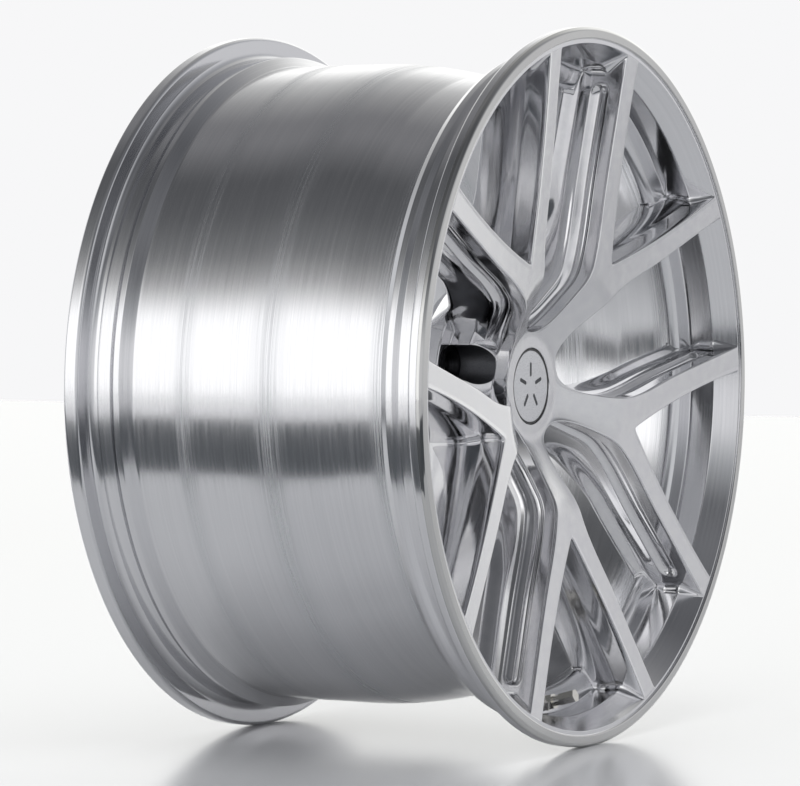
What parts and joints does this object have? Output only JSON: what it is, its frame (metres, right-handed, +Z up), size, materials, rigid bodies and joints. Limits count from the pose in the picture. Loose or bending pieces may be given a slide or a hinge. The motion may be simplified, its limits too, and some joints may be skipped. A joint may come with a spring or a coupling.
{
  "type": "forged wheel rim",
  "caption": "Polished one-piece wheel with forked spokes, a deep drop-centre barrel, a removable centre cap and a clamp-in valve.",
  "frame": {"origin": "on the wheel axis, halfway across the rim width: the centre of the bounding box", "axes": "+Y along the wheel axis towards the car (brake side), so the face looks along -Y; +Z up; the valve is at -Z"},
  "size_m": [0.5478, 0.3046, 0.5478],
  "materials": {
    "polished_forging": "mirror polished, turned barrel",
    "stainless_ring": "polished stainless",
    "seat_steel": "black oxide",
    "cap_black": "gloss black",
    "emblem_silver": "satin anodised",
    "mark_grey": "filled paint",
    "spring_steel": "drawn wire",
    "centring_alloy": "turned",
    "valve_nickel": "bright nickel",
    "valve_brass": "turned brass",
    "seal_rubber": "matt moulded"
  },
  "bodies": {
    "wheel": {"wheel_forging": "polished_forging", "rim_protector_ring": "stainless_ring", "lug_seat_insert_1": "seat_steel", "lug_seat_insert_2": "seat_steel", "lug_seat_insert_3": "seat_steel", "lug_seat_insert_4": "seat_steel", "lug_seat_insert_5": "seat_steel", "hub_centring_ring": "centring_alloy", "centring_ring_clip": "spring_steel", "valve_stem": "valve_nickel", "valve_grommet": "seal_rubber", "valve_washer": "valve_nickel", "valve_nut": "valve_nickel", "valve_core_housing": "valve_brass", "valve_core_spring": "spring_steel"},
    "centre_cap": {"cap_body": "cap_black", "cap_emblem": "emblem_silver", "cap_mark": "mark_grey", "cap_spring_wire": "spring_steel"},
    "valve_cap_lift": {"valve_cap_gasket": "seal_rubber"},
    "valve_cap": {"valve_cap": "valve_nickel"},
    "valve_pin": {"valve_core_pin": "valve_brass", "valve_core_seal": "seal_rubber"}
  },
  "joints": [
    {"name": "centre_cap_pull", "type": "slide", "parent": "wheel", "child": "centre_cap", "axis": [0, -1, 0], "range_m": [0, 0.025]},
    {"name": "valve_cap_rise", "type": "slide", "parent": "wheel", "child": "valve_cap_lift", "axis": [0, -0.9613, 0.2756], "range_m": [0, 0.00476]},
    {"name": "valve_cap_screw", "type": "hinge", "parent": "valve_cap_lift", "child": "valve_cap", "pos_m": [0, -0.10973, -0.2436], "axis": [0, -0.9613, 0.2756], "range_deg": [0, 2161]},
    {"name": "valve_pin_press", "type": "slide", "parent": "wheel", "child": "valve_pin", "axis": [0, 0.9613, -0.2756], "range_m": [0, 0.0015], "stiffness_N_per_m": 400, "springref_m": -0.001, "deforming": ["valve_core_spring"]}
  ],
  "couplings": [
    {"joint": "valve_cap_screw", "follows": "valve_cap_rise", "rad_per_m": 7913.3}
  ]
}
